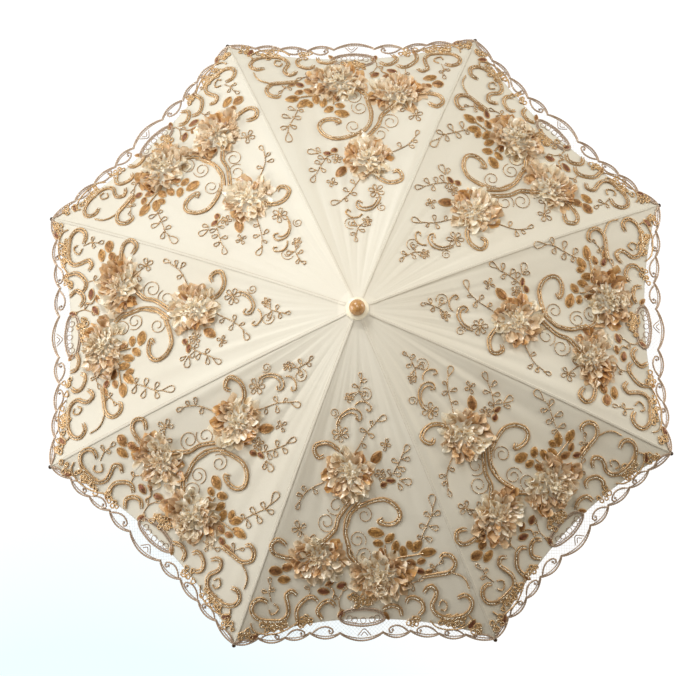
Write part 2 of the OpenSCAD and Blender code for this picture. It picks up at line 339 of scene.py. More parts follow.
SCROLLS = {
    # thick double cords: control points from root to tip, then the side of the bead row
    "great_scroll": ([(-6, 230), (11, 224), (27, 222), (40, 228), (47, 238), (47, 246), (41, 252), (32, 254),
                      (22, 252), (19, 248), (25, 244)], 1),
    "left_stem": ([(-8, 222), (-16, 230), (-27, 244), (-32, 258), (-42, 268), (-52, 278)], 1),
    "middle_stem": ([(-3, 224), (-14, 236), (-20, 246), (-22, 262), (-18, 278), (-17, 288), (-6, 300)], -1),
    "left_hook": ([(-24, 174), (-30, 164), (-41, 158), (-53, 160), (-55, 166), (-51, 172), (-45, 170)], 1),
    "low_hook": ([(-58, 282), (-76, 288), (-92, 288), (-106, 284), (-110, 276), (-104, 270), (-98, 272),
                  (-94, 276)], -1),
    "open_curl": ([(72, 312), (90, 310), (105, 308), (112, 300), (108, 292), (100, 290), (97, 294)], 1),
    "right_border": ([(72, 332), (77, 326), (84, 324), (90, 331), (89, 339), (85, 347), (88, 355), (97, 360),
                      (110, 361), (121, 359), (129, 353), (131, 344), (124, 338), (115, 341)], 1),
    "right_border_small": ([(50, 343), (54, 337), (62, 336), (72, 342), (74, 352), (68, 359)], 1),
    "right_border_end": ([(22, 349), (34, 345), (45, 349), (48, 359)], 1),
    "left_border": ([(-80, 331), (-88, 326), (-96, 332), (-94, 344), (-94, 353), (-100, 360), (-112, 361),
                     (-128, 359), (-136, 351), (-134, 342), (-126, 338), (-118, 342)], -1),
    "left_border_small": ([(-80, 364), (-80, 350), (-70, 339), (-62, 337), (-56, 342)], -1),
    "left_border_end": ([(-50, 361), (-56, 352), (-50, 344), (-42, 342), (-36, 348)], -1),
}

CORDS = {
    # single cords
    "crown_hook": [(-5, 114), (0, 110), (8, 110), (15, 116), (13, 121), (9, 118)],
    "upper_hook": [(-29, 137), (-26, 129), (-20, 122), (-10, 118), (-1, 121), (2, 127), (-1, 132), (-6, 129)],
    "upper_hook_inner": [(-25, 134), (-22, 128), (-17, 124), (-10, 122), (-4, 124), (-2, 128)],
    "stem_shadow": [(-3, 230), (-13, 240), (-16, 248), (-20, 262), (-17, 276), (-12, 286)],
    "tendril": [(106, 310), (118, 314), (125, 320), (129, 330)],
    "left_border_curl": [(-110, 342), (-104, 347), (-108, 353), (-114, 354), (-116, 349)],
    "right_border_curl": [(92, 348), (96, 342), (102, 347), (100, 354), (94, 353)],
    "left_basket": [(-140, 364), (-138, 371), (-130, 376), (-112, 377), (-96, 372), (-82, 364)],
    "right_basket": [(82, 365), (91, 373), (106, 376), (122, 374), (133, 366), (130, 360)],
    "leaf_stalk": [(30, 294), (29, 284), (28, 276)],
    "leaf_branch": [(36, 298), (44, 292), (60, 290), (74, 288)],
    "low_leaf_stalk": [(-38, 336), (-36, 328), (-44, 322)],
}

SPRIGS = [
    # thin stem, then its loops: base x, base y, heading in degrees (0 right, 90 to the rim), length
    ([(-10, 172), (-2, 162), (9, 144), (20, 133)],
     [(20, 133, -20, 14), (9, 144, -165, 9), (10, 146, 35, 9), (2, 156, 50, 8), (14, 139, -100, 7)]),
    ([(23, 200), (35, 198), (44, 186), (51, 172)],
     [(51, 172, -62, 13), (46, 182, -140, 9), (49, 178, 5, 10), (44, 186, 30, 10), (39, 194, 20, 10),
      (46, 202, 15, 15), (45, 204, 60, 9), (37, 196, -120, 8)]),
    ([(-44, 202), (-58, 208), (-67, 214), (-75, 224)],
     [(-75, 224, 110, 10), (-66, 212, -140, 9), (-58, 208, 65, 9), (-70, 218, -170, 8)]),
    ([(70, 280), (73, 270), (79, 256), (85, 244), (86, 236)],
     [(86, 236, -94, 17), (84, 246, -150, 10), (85, 244, -20, 11), (80, 258, -165, 11), (81, 256, 20, 12),
      (75, 268, 30, 11), (74, 270, -160, 8)]),
    ([(-2, 98), (1, 90), (3, 83)],
     [(3, 83, -100, 8), (2, 87, -10, 8), (0, 92, -160, 8), (-2, 98, 160, 11), (-1, 97, 30, 10)]),
    ([(-114, 340), (-116, 329), (-114, 320)],
     [(-114, 320, -90, 9), (-116, 327, -15, 8), (-116, 329, -160, 8)]),
    ([(-30, 347), (-30, 338), (-26, 330)],
     [(-26, 330, -50, 8), (-30, 339, -150, 8), (-30, 347, 60, 11)]),
    ([(-66, 332), (-66, 324), (-62, 320)],
     [(-62, 320, -60, 8), (-66, 326, -150, 7)]),
    ([(-62, 274), (-68, 266), (-76, 256)],
     [(-76, 256, -120, 10), (-76, 256, 170, 10), (-76, 256, -40, 9), (-76, 256, 95, 9), (-66, 268, -30, 9)]),
    ([(82, 308), (88, 304), (92, 300)],
     [(92, 300, -40, 7), (88, 304, -150, 7), (88, 304, 60, 7)]),
    ([(52, 324), (60, 322), (66, 320)],
     [(66, 320, -20, 9), (60, 322, 80, 8), (58, 322, -80, 8)]),
]

DAISIES = [(-24, 146, 10, 6), (24, 194, 7, 5), (-12, 104, 6, 5), (31, 160, 7, 4)]   # x, y, radius, loops

CURLS = [
    # small thin spirals: x, y, radius, start angle, hand
    (-44, 248, 10, 40, 1), (-31, 230, 10, 160, -1), (3, 242, 9, 200, 1), (-6, 270, 9, 30, -1),
    (2, 288, 9, 120, 1), (8, 102, 7, 250, 1), (-31, 122, 5, 90, -1),
]

OCHRE, BROWN, DARK = 0.15, 0.6, 1.0
LEAVES = [
    # x, y, heading, length, width, tone
    (18, 262, 15, 17, 11, OCHRE), (34, 268, -35, 12, 9, OCHRE), (20, 274, 10, 11, 8, OCHRE),
    (40, 280, 110, 13, 9, OCHRE), (25, 286, 60, 11, 8, BROWN), (50, 286, 80, 13, 9, OCHRE),
    (67, 278, -40, 15, 10, OCHRE), (81, 286, -8, 17, 10, OCHRE), (60, 298, 20, 12, 8, BROWN),
    (72, 296, -20, 10, 7, BROWN), (71, 308, 20, 10, 7, DARK), (81, 308, -10, 9, 4, BROWN),
    (28, 206, -20, 8, 7, DARK), (37, 202, 5, 10, 6, DARK), (20, 174, -50, 16, 11, BROWN),
    (-106, 304, 10, 14, 11, BROWN), (-92, 300, -15, 12, 9, BROWN), (-96, 314, -8, 15, 9, OCHRE),
    (-48, 329, 15, 13, 8, DARK), (-26, 322, -25, 12, 8, DARK), (-42, 320, 160, 10, 6, BROWN),
    (-28, 355, -60, 10, 6, DARK), (133, 370, -55, 11, 7, DARK), (-136, 380, -25, 12, 6, DARK),
    (28, 359, 50, 9, 5, BROWN), (-80, 366, 70, 9, 5, BROWN), (58, 278, 70, 10, 8, OCHRE),
]

KNOTS = [
    # gold cord heaps: x, y, width, depth
    (107, 366, 32, 9), (-111, 367, 36, 10), (-3, 342, 30, 14), (62, 364, 16, 6), (-72, 364, 16, 7),
    (-146, 376, 12, 6), (140, 376, 12, 5),
]

FLOWERS = [
    # x, y, half width, half depth, petals in the outer ring, petal length, pale groups, brown groups
    (-14, 194, 28, 28, 14, 12, [(-0.5, -0.75), (0.25, 0.75), (0.0, -0.15)], [(-0.8, 0.3), (0.8, 0.0)]),
    (-54, 291, 35, 23, 15, 12, [(0.0, -0.35), (0.55, 0.65)], [(-0.7, 0.2), (0.6, -0.4)]),
    (22, 311, 38, 24, 16, 12, [(-0.35, -0.6), (0.0, 0.1)], [(-0.6, 0.5), (0.65, 0.2)]),
]
FLOWER_TOP = 0.0125      # nothing on a flower stands higher over the cloth than this

CUSPS = [(-160, 388), (-131, 382), (-98, 382), (-67, 377), (-30, 378), (23, 378), (57, 377), (92, 381),
         (125, 383), (160, 388)]
SCALLOP_DEPTH = [3.5, 5.5, 5, 6.5, 9, 6.5, 5, 5, 3.5]


def scallop_line(first, last, inset=0.0):
    """The lace edge from one cusp to another, as points in millimetres, inset towards the hem."""
    line = []
    for i in range(first, last):
        (x0, y0), (x1, y1) = CUSPS[i], CUSPS[i + 1]
        for t in np.linspace(0, 1, 14):
            arch = math.sin(math.pi * t)
            bulge = SCALLOP_DEPTH[i] * arch ** 0.8 - inset * (0.4 + 0.6 * arch)
            line.append((x0 + (x1 - x0) * t, y0 + (y1 - y0) * t + bulge))
    return line


# ---------- lace pieces ----------

def loop_points(x, y, heading, length, width=0.5):
    """A teardrop loop that starts and ends at x, y."""
    a = math.radians(heading)
    line = []
    for t in np.linspace(0, 2 * math.pi, 15):
        out = length * (1 - math.cos(t)) / 2
        side = length * width * math.sin(t) * (1 - math.cos(t)) / 2.6
        line.append((x + out * math.cos(a) - side * math.sin(a), y + out * math.sin(a) + side * math.cos(a)))
    return line


def curl_points(x, y, radius, start, hand):
    """A flat spiral that winds in towards x, y."""
    turns = 1.45
    line = []
    for t in np.linspace(0, 1, 22):
        a = math.radians(start) + hand * t * 2 * math.pi * turns
        r = radius * 1.2 * (1 - 0.72 * t)
        line.append((x + r * math.cos(a), y + r * math.sin(a)))
    return line


def shifted(points, rng):
    """Points in millimetres as points in metres, with the small irregularity of hand work."""
    dx, dy, turn = rng.uniform(-0.8, 0.8), rng.uniform(-0.8, 0.8), rng.uniform(-0.02, 0.02)
    p = np.array(points, float)
    middle = p[:, :2].mean(0)
    c, s = math.cos(turn), math.sin(turn)
    q = (p[:, :2] - middle) @ np.array([[c, s], [-s, c]]) + middle + (dx, dy)
    return q * MM


def strew(beads, x, y, h, smallest, largest, rng):
    """One bead of a random size, turn and tone."""
    size, spin = rng.uniform(smallest, largest), rng.uniform(0, 6.28)
    bead(beads, x, y, h, size, spin, rng.random())


def add_scroll(cords, beads, points, side, rng):
    """A wide gimp scroll: a heavy cord and a lighter one, with a row of beads in the groove between them."""
    line = spline(shifted(points, rng), 0.0009)
    left = sideways(line) * side
    tone = rng.uniform(0.6, 0.9)
    tube(cords, line, HEAVY_CORD, 8, 0.0014, pitch=0.0046, strands=3, depth=0.13, tone=tone, taper=4)
    beside = line + left * CORD_GAP
    tube(cords, beside, LIGHT_CORD, 6, 0.0011, pitch=0.0034, depth=0.18, tone=tone - 0.4, taper=4)
    for i in range(2, len(line) - 2, 2):
        x, y = line[i] + left[i] * (0.0018 + rng.uniform(-0.0003, 0.0003))
        if rng.random() < 0.8:
            strew(beads, x, y, 0.0024, 0.0006, 0.0009, rng)


def add_thread(cords, beads, points, rng, radius=THREAD, tone=None, glints=0.6):
    """A thin twisted cord with a bright bead here and there."""
    line = spline(shifted(points, rng), 0.0010)
    tone = rng.uniform(0.45, 1.0) if tone is None else tone
    tube(cords, line, radius, 5, radius + 0.0005, pitch=0.0024, depth=0.28, tone=tone)
    for x, y in line[rng.randrange(3)::3]:
        if rng.random() < glints:
            strew(beads, x, y, 2 * radius + 0.0003, 0.0004, 0.0007, rng)


def add_leaf(leaves, cords, x, y, heading, length, width, tone, rng):
    """A padded satin-stitch leaf with a corded outline."""
    heading = math.radians(heading + rng.uniform(-8, 8))
    length, width = length * MM * rng.uniform(0.92, 1.08), width * MM
    rows, cols = 15, 9
    s = np.linspace(0, 1, rows)[:, None]
    t = np.linspace(-1, 1, cols)[None]
    half = width / 2 * np.sin(np.pi * s ** 0.9) ** 0.62
    along = (s - 0.5) * length - 0.12 * length * t ** 2 * (1 - s)
    across = t * half
    crown_h = 0.0016 * np.sqrt(np.clip(1 - t ** 2, 0, 1)) * np.sin(np.pi * s) ** 0.5
    stitch = 0.00016 * np.where(np.arange(rows)[:, None] % 2 == 0, 1, -1) * (1 - t ** 2)
    groove = -0.0005 * np.exp(-(t / 0.16) ** 2) * np.sin(np.pi * s)
    c, sn = math.cos(heading), math.sin(heading)
    points = np.stack([x * MM + along * c - across * sn, y * MM + along * sn + across * c,
                       0.0007 + crown_h + stitch + groove + 0 * along], -1)
    # tip rises towards the leaf's edges and end, where the leaf's material paints a highlight
    tip = np.broadcast_to(np.abs(t) * 0.6 + 0.4 * s, (rows, cols))
    leaves.grid(points, tone + rng.uniform(-0.12, 0.12), tip)
    edge = np.concatenate([points[:, 0], points[::-1, -1]])[:, :2]
    line = spline(edge[::2], 0.0011, closed=True)
    tube(cords, line, 0.0006, 5, 0.001, pitch=0.0024, depth=0.22, tone=0.0)


def add_petal(petals, x, y, h, heading, rise, length, width, tone, rng, pleats=1.0, curl=1.0):
    """A ribbon petal with a round end, that leaves x, y, h along heading, rises at rise and curls over."""
    rows, cols = 8, 11
    s = np.linspace(0, 1, rows)[:, None]
    t = np.linspace(-1, 1, cols)[None]
    half = width / 2 * np.sin(np.pi * (0.10 + 0.70 * s)) ** 0.8
    lean = rise + curl * rng.uniform(-1.6, 0.2) * s ** 1.4
    sway = rng.uniform(-0.7, 0.7) * s
    step = length / (rows - 1)
    out = np.cumsum(np.cos(lean) * np.cos(sway) * step, axis=0) - step
    drift = np.cumsum(np.sin(sway) * step, axis=0)
    up = np.cumsum(np.sin(lean) * step, axis=0) - step
    fold = np.cos(np.pi * pleats * t + rng.uniform(0, 6.28) + 0.8 * s)
    cup = rng.uniform(0.05, 0.55) * width * t ** 2 * s
    pleat = 0.09 * width * fold * (0.2 + 0.8 * s)
    twist = rng.uniform(-0.7, 0.7) * s * t * half
    across = t * half + drift
    c, sn = math.cos(heading), math.sin(heading)
    ex = out - 0.30 * width * t ** 2 * s ** 2 + 0.05 * length * fold * s
    points = np.stack([x + ex * c - across * sn, y + ex * sn + across * c, h + up + cup + pleat + twist], -1)
    points[..., 2] = np.clip(points[..., 2], 0.0007 + 0.0004 * rng.random(), FLOWER_TOP)
    # tip: low at the root and in the pleats' valleys, high on the ridges, the far end and the side edges, for
    # painted shade and painted highlight
    petals.grid(points, tone, np.clip(0.05 + 0.55 * s + 0.25 * fold + 0.3 * t ** 6, 0, 1))


def add_flower(petals, x, y, wide, deep, outer, petal, pale, brown, rng):
    """A full flower: broad satin petals round the outside, narrow curled ribbons inside, in colour groups."""
    rings = 8
    for ring in range(rings):
        share = 1 - ring / rings
        count = max(5, int(outer * (0.35 + 0.85 * share)))
        first = rng.uniform(0, 2 * math.pi)
        broad = share > 0.7
        for i in range(count):
            a = first + 2 * math.pi * i / count + rng.uniform(-0.25, 0.25)
            reach = max(0.0, share * 1.02 - 0.26) * rng.uniform(0.85, 1.12)
            u, v = reach * math.cos(a), reach * math.sin(a)
            size = petal * MM * (0.62 + 0.38 * share) * rng.uniform(0.8, 1.15) * (1.2 if broad else 1.0)
            rise = 0.12 + 1.0 * (1 - share) + rng.uniform(-0.1, 0.4)
            tone = 0.54 + rng.uniform(-0.36, 0.36)
            tone -= sum(1.0 * math.exp(-((u - p) ** 2 + (v - q) ** 2) / 0.11) for p, q in pale)
            tone -= 0.45 if rng.random() < 0.2 else 0
            tone += sum(0.5 * math.exp(-((u - p) ** 2 + (v - q) ** 2) / 0.12) for p, q in brown)
            width = size * (rng.uniform(0.75, 1.0) if broad else rng.uniform(0.35, 0.6))
            pleats, curl = (1.1, 0.5) if broad else (0.7, 1.2)
            add_petal(petals, (x + wide * u) * MM, (y + deep * v) * MM, 0.0008 + 0.0044 * (1 - share),
                      a + rng.uniform(-0.4, 0.4), rise, size, width, min(1, max(0, tone)), rng, pleats, curl)


def add_rose(petals, x, y, radius, rng):
    """A small tight rose of wrapped petals."""
    for ring, count in enumerate((7, 5, 4, 3)):
        share = 1 - ring / 4
        for i in range(count):
            a = 2 * math.pi * (i + 0.5 * ring) / count + rng.uniform(-0.1, 0.1)
            reach = radius * MM * share * 0.55
            foot_x, foot_y = x * MM + reach * math.cos(a), y * MM + reach * math.sin(a)
            add_petal(petals, foot_x, foot_y, 0.004 + 0.003 * (1 - share), a, 0.5 + 0.8 * (1 - share),
                      radius * MM * 0.8, radius * MM * 0.9, 0.35 * share, rng)


def add_knot(cords, beads, x, y, wide, deep, rng):
    """A heap of gold cord loops strewn with beads."""
    count = int(4 + wide * deep / 26)
    for i in range(count):
        px = x + (i / (count - 1) - 0.5) * wide * 0.8
        py = y + rng.uniform(-0.3, 0.3) * deep
        loop = loop_points(px, py, rng.uniform(0, 360), rng.uniform(5, 8), 0.8)
        add_thread(cords, beads, loop, rng, 0.0009, 0.1, 0.2)
    for i in range(count):
        bx, by = x + rng.uniform(-0.5, 0.5) * wide, y + rng.uniform(-0.5, 0.5) * deep
        bead(beads, bx * MM, by * MM, 0.0022, rng.uniform(0.0005, 0.0009), rng.uniform(0, 6), rng.random())


def add_net(net, side):
    """Diamond net between the hem and the scalloped edge, on one half of the gore."""
    edge = np.array(scallop_line(0, len(CUSPS) - 1)) * MM
    for slope in (1, -1):
        for c in np.arange(-0.30, 0.60, NET_PITCH):
            # the thread y = slope * x + c, from the hem to the edge
            y = np.arange(0.352, 0.396, 0.0012)
            x = (y - c) / slope
            low = hem_y(x) - 0.002
            high = np.interp(x, edge[:, 0], edge[:, 1])
            keep = (y > low) & (y < high) & (np.abs(x) < HALF_SPAN - 0.002) & (x * side >= 0)
            runs = np.split(np.flatnonzero(keep), np.flatnonzero(np.diff(np.flatnonzero(keep)) > 1) + 1)
            for run in runs:
                if len(run) > 2:
                    line = np.stack([x[run], y[run]], -1)
                    tube(net, line[::2] if len(run) > 5 else line, NET_THREAD, 4, 0.0005)


def own_half(line, side):
    """The part of a line that lies on one half of the gore, a step past its middle."""
    step = 0.0011
    return line[line[:, 0] * side > -step]


def add_edge(edging, side, rng):
    """Scalloped double cord with a curled hook in each scallop, past the hem, on one half of the gore."""
    middle = len(SCALLOP_DEPTH) // 2
    for i in range(len(SCALLOP_DEPTH)):
        (x0, y0), (x1, y1) = CUSPS[i], CUSPS[i + 1]
        tone = rng.uniform(0.2, 0.8)
        for inset, radius in ((0.0, 0.0011), (2.8, 0.0007)):
            line = own_half(spline(np.array(scallop_line(i, i + 1, inset)) * MM, 0.001), side)
            if len(line) > 3:
                tube(edging, line, radius, 6, 0.0008, pitch=0.003, depth=0.2, tone=tone)
        if i == middle or (x0 + x1) * side < 0:
            continue
        reach = (x1 - x0) * 0.32
        cx, cy = (x0 + x1) / 2 - side * reach * 0.4, (y0 + y1) / 2 + 1
        deep = min(8.5, (cy - 1000 * float(hem_y(cx * MM))) * 0.62)
        if deep > 1.5:
            hook = [(cx + side * reach * 1.9, cy + 0.5), (cx + side * reach * 1.1, cy - deep * 0.75),
                    (cx + side * reach * 0.3, cy - deep), (cx - side * 4.5, cy - deep * 0.62),
                    (cx - side * 4.2, cy - deep * 0.1), (cx - side * 0.8, cy - deep * 0.1),
                    (cx - side * 0.6, cy - deep * 0.4)]
            line = spline(np.array(hook) * MM, 0.001)
            tube(edging, line, 0.0011, 6, 0.0010, pitch=0.003, depth=0.2, tone=0.6, taper=5)
            bead(edging, line[-1, 0], line[-1, 1], 0.0009, 0.0021, 0.3, 1.0)


def add_medallion(edging, side):
    """One half of the oval at the middle of the edge, with its arc of little rings and its picot."""
    lower = [(-30, 359), (-29, 363), (-22, 367), (-12, 369), (-2, 370), (8, 369), (18, 367), (25, 363),
             (26, 359)]
    upper = [(-30, 359), (-25, 353), (-13, 350), (-2, 349), (9, 350), (20, 353), (26, 360)]
    arcs = ((lower, 0, 0.0012), (lower, 2.4, 0.0007), (upper, 0, 0.0010), (upper, -2.4, 0.0007))
    for arc, grow, radius in arcs:
        line = own_half(spline([(x * MM, (y - grow) * MM) for x, y in arc], 0.001), side)
        tube(edging, line, radius, 6, 0.0010, pitch=0.003, depth=0.2, tone=0.7)
    rings, ring_r = 5, 3.4
    round_ring = np.linspace(0, 2 * math.pi, 9)[:-1]
    for i in range(rings):
        a = math.radians(180 - 180 / rings * (i + 0.5))
        x, y = -1 + 18 * math.cos(a), 359.5 + 4.0 * math.sin(a)
        if (x - 0.5) * side > 0:
            ring = [(x + ring_r * math.cos(b), y + ring_r * math.sin(b)) for b in round_ring]
            tube(edging, spline(np.array(ring) * MM, 0.0008, True), 0.00045, 5, 0.0008, tone=0.8)
    for reach, base, top in ((8, 381, 373.5), (4, 381, 377)):    # the picot's two peaks
        line = own_half(spline(np.array([(-reach, base), (0, top), (reach, base)]) * MM, 0.0006), side)
        tube(edging, line, 0.0006, 5, 0.0008, tone=0.8)


def add_rib_edge(edging, side):
    """The net's own outline beside the rib, from the hem to the tip."""
    x, y = side * (HALF_SPAN - 0.0015), TIP_Y
    line = spline([(side * 0.148, 0.3835), (side * 0.155, 0.386), (x, y)], 0.001)
    tube(edging, line, 0.0008, 6, 0.0009, pitch=0.003, depth=0.2, tone=0.5)


# ---------- materials ----------

class Look:
    """The nodes of a material, or of the world."""

    def __init__(self, owner):
        owner.use_nodes = True
        self.owner, self.nodes, self.links = owner, owner.node_tree.nodes, owner.node_tree.links
        self.shader = self.nodes.get("Principled BSDF")

    def give(self, socket, value):
        """Links a socket's value to another socket, or sets a plain number or colour on it."""
        if isinstance(value, bpy.types.NodeSocket):
            self.links.new(value, socket)
        else:
            socket.default_value = (*value, 1) if isinstance(value, tuple) else value

    def shade(self, **values):
        """Gives the shader's inputs their values; an underscore in a name stands for a space."""
        for name, value in values.items():
            self.give(self.shader.inputs[name.replace("_", " ")], value)

    def texture(self, kind, output="Fac", **settings):
        """A 3D texture in the object's own metres, so that it moves with its body."""
        where = self.nodes.get("where")
        if where is None:
            where = self.nodes.new("ShaderNodeTexCoord")
            where.name = "where"
        node = self.nodes.new("ShaderNodeTex" + kind)
        for key, value in settings.items():
            if hasattr(node, key):
                setattr(node, key, value)
            else:
                node.inputs[key].default_value = value
        self.links.new(where.outputs["Object"], node.inputs["Vector"])
        return node.outputs[output]

    def mapped(self, texture, **settings):
        """Moves or stretches a texture's place."""
        node = self.nodes.new("ShaderNodeMapping")
        node.vector_type = "TEXTURE" if "Location" in settings else "POINT"
        for key, value in settings.items():
            node.inputs[key].default_value = value
        self.links.new(self.nodes["where"].outputs["Object"], node.inputs["Vector"])
        self.links.new(node.outputs["Vector"], texture.node.inputs["Vector"])
        return texture

    def ramp(self, source, *stops):
        """A colour ramp of (position, colour) stops."""
        node = self.nodes.new("ShaderNodeValToRGB")
        while len(node.color_ramp.elements) < len(stops):
            node.color_ramp.elements.new(0.5)
        for element, (at, colour) in zip(node.color_ramp.elements, stops):
            element.position = at
            element.color = (*colour, 1)
        self.links.new(source, node.inputs["Fac"])
        return node.outputs["Color"]

    def mix(self, share, a, b, blend="MIX"):
        """Colour a with a share of colour b."""
        node = self.nodes.new("ShaderNodeMix")
        node.data_type = "RGBA"
        node.blend_type = blend
        for name, value in (("Factor", share), ("A", a), ("B", b)):
            self.give(node.inputs[name], value)
        return node.outputs["Result"]

    def vertex(self, name):
        """The tone or the tip kept on each vertex."""
        node = self.nodes.new("ShaderNodeAttribute")
        node.attribute_name = name
        return node.outputs["Fac"]

    def maths(self, operation, *values):
        node = self.nodes.new("ShaderNodeMath")
        node.operation = operation
        for socket, value in zip(node.inputs, values):
            self.give(socket, value)
        return node.outputs[0]

    def bump(self, height, strength, distance):
        """Fine relief from a height, distance metres deep."""
        node = self.nodes.new("ShaderNodeBump")
        node.inputs["Strength"].default_value = strength
        node.inputs["Distance"].default_value = distance
        self.links.new(height, node.inputs["Height"])
        self.shade(Normal=node.outputs["Normal"])

    def let_light_through(self, colour, share):
        """Mixes in the light that thin cloth passes to its other side."""
        through = self.nodes.new("ShaderNodeBsdfTranslucent")
        self.links.new(colour, through.inputs["Color"])
        join = self.nodes.new("ShaderNodeMixShader")
        join.inputs["Fac"].default_value = share
        self.links.new(self.shader.outputs[0], join.inputs[1])
        self.links.new(through.outputs[0], join.inputs[2])
        self.links.new(join.outputs[0], self.nodes["Material Output"].inputs["Surface"])


def grey(value):
    return (value, value, value)


def satin_material(name, colour, shade):
    """Cream satin: fine diagonal weave, soft colour clouds, a little light coming through."""
    look = Look(bpy.data.materials.new(name))
    clouds = look.texture("Noise", Scale=9.0, Detail=4.0)
    tint = look.ramp(clouds, (0.3, shade), (0.7, colour))
    warp = look.texture("Wave", wave_type="BANDS", bands_direction="DIAGONAL", Scale=420.0, Distortion=0.6)
    weft = look.texture("Wave", wave_type="BANDS", bands_direction="X", Scale=260.0, Distortion=1.2)
    slub = look.texture("Noise", Scale=600.0, Detail=2.0)
    weave = look.maths("ADD", warp, look.maths("MULTIPLY", weft, slub))
    look.shade(Base_Color=look.mix(0.10, tint, slub, "SOFT_LIGHT"), Sheen_Weight=0.25, Sheen_Roughness=0.4,
               Specular_IOR_Level=0.35, Roughness=look.maths("MULTIPLY_ADD", clouds, 0.14, 0.42))
    look.bump(weave, 0.25, 0.0001)
    look.let_light_through(tint, 0.18)
    return look.owner


def cord_material(name, light, dark, metallic):
    """Twisted gimp: each cord in its own tone from light to dark, with patches of wear and gold glints painted in
    as pale spots.
    """
    look = Look(bpy.data.materials.new(name))
    spots = look.texture("Noise", Scale=900.0, Detail=2.0)
    patchy = look.texture("Noise", Scale=60.0, Detail=3.0)
    body = look.mix(look.vertex("tone"), light, dark)
    # patches of wear on the cords: lighter where the coarse noise is high
    worn_and_highlit = look.mix(patchy, body, light)
    # painted highlight: small pale gold spots in the colour stand for glints where the fine noise peaks
    painted_glint = look.ramp(spots, (0.60, grey(0)), (0.72, grey(1)))
    look.shade(Base_Color=look.mix(painted_glint, worn_and_highlit, (0.95, 0.86, 0.68)), Metallic=metallic,
               Roughness=look.ramp(spots, (0.35, grey(0.55)), (0.7, grey(0.25))))
    look.bump(spots, 0.5, 0.0002)
    return look.owner


def petal_material():
    """Ribbon petals: tan at the root and in the folds as painted shade, peach along the petal, cream at the lip
    and on the pleats' ridges as painted highlight, and thin enough to glow.
    """
    look = Look(bpy.data.materials.new("petal_ribbon"))
    tip = look.vertex("tip")
    fibre = look.texture("Noise", Scale=500.0, Detail=3.0)
    # painted shade and highlight: each ramp runs along tip from the shaded root and fold valleys to the highlit
    # lip and ridges
    dark = look.ramp(tip, (0.0, (0.26, 0.10, 0.03)), (0.4, (0.72, 0.38, 0.125)), (1.0, (0.98, 0.69, 0.35)))
    pale = look.ramp(tip, (0.0, (0.66, 0.42, 0.19)), (0.3, (0.98, 0.84, 0.61)), (1.0, (1.0, 0.98, 0.88)))
    both = look.mix(look.vertex("tone"), pale, dark)
    soft = look.ramp(fibre, (0.3, (0.84, 0.83, 0.80)), (0.7, grey(1)))
    colour = look.mix(1.0, both, soft, "MULTIPLY")
    look.shade(Base_Color=colour, Sheen_Weight=0.12, Specular_IOR_Level=0.9,
               Roughness=look.maths("MULTIPLY_ADD", fibre, 0.2, 0.2))
    look.bump(fibre, 0.35, 0.0002)
    look.let_light_through(colour, 0.2)
    return look.owner


def leaf_material():
    """Tiny sequins and satin stitch: ochre to red-brown, each scale with its own shine, and a painted highlight
    that pales the leaf towards its edges and its end.
    """
    look = Look(bpy.data.materials.new("leaf_thread"))
    scales = look.texture("Voronoi", "Distance", Scale=420.0)
    thread = look.texture("Noise", Scale=260.0, Detail=4.0)
    hue = look.ramp(look.vertex("tone"), (0.1, (0.52, 0.26, 0.065)), (0.6, (0.39, 0.17, 0.05)),
                    (1.0, (0.23, 0.05, 0.028)))
    shade = look.ramp(thread, (0.40, (0.42, 0.34, 0.26)), (0.58, grey(1)))
    rims = look.ramp(scales, (0.25, grey(1)), (0.75, (0.45, 0.38, 0.30)))
    cells = look.mix(0.8, hue, rims, "MULTIPLY")
    lit = look.mix(0.8, cells, shade, "MULTIPLY")
    # painted highlight: the leaf pales towards its edges and its end, by its tip value
    worn_and_highlit = look.mix(look.maths("MULTIPLY", look.vertex("tip"), 0.3), lit, (0.80, 0.52, 0.22))
    look.shade(Base_Color=worn_and_highlit, Metallic=0.38, Roughness=look.maths("MULTIPLY_ADD", thread, 0.3, 0.3))
    look.bump(scales, 0.7, 0.0005)
    return look.owner


def plain_material(name, light, dark, metallic, roughness, scale, detail, distortion, strength, coat=0.0):
    """Metal, wood or moulded plastic: two tones, relief and wear from 3D noise of one scale."""
    look = Look(bpy.data.materials.new(name))
    figure = look.texture("Noise", Scale=scale, Detail=detail, Distortion=distortion)
    if name == "wood":
        look.mapped(figure, Scale=(1.0, 1.0, WOOD_STRETCH))
    wear = look.texture("Noise", Scale=scale * 0.13, Detail=3.0)
    tones = look.ramp(figure, (0.3, dark), (0.7, light))
    look.shade(Base_Color=look.mix(0.25, tones, wear, "SOFT_LIGHT"), Metallic=metallic, Coat_Weight=coat,
               Roughness=look.maths("MULTIPLY_ADD", wear, 0.2, roughness - 0.1))
    look.bump(figure, strength, 0.0002)
    return look.owner


WOOD_STRETCH = 0.06      # the wood's grain is this much coarser along the handle

SATIN = satin_material("satin", (0.80, 0.75, 0.635), (0.775, 0.716, 0.595))
SEAM = satin_material("seam_satin", (0.80, 0.745, 0.625), (0.76, 0.695, 0.57))
NET = satin_material("net_thread", (0.86, 0.82, 0.75), (0.76, 0.71, 0.63))
GIMP = cord_material("gimp", (0.58, 0.36, 0.16), (0.22, 0.115, 0.055), 0.5)
EDGING = cord_material("edging_cord", (0.50, 0.36, 0.25), (0.23, 0.145, 0.10), 0.35)
BEADS = cord_material("bead_gilt", (1.0, 0.95, 0.80), (0.90, 0.70, 0.40), 0.3)
# thread for the seam's stitches and for its edge line, which is painted shadow
STITCH_AND_EDGE_SHADOW = cord_material("seam_thread_and_edge_shadow", (0.60, 0.52, 0.40), (0.46, 0.385, 0.28), 0.0)
PETALS = petal_material()
LEAF = leaf_material()

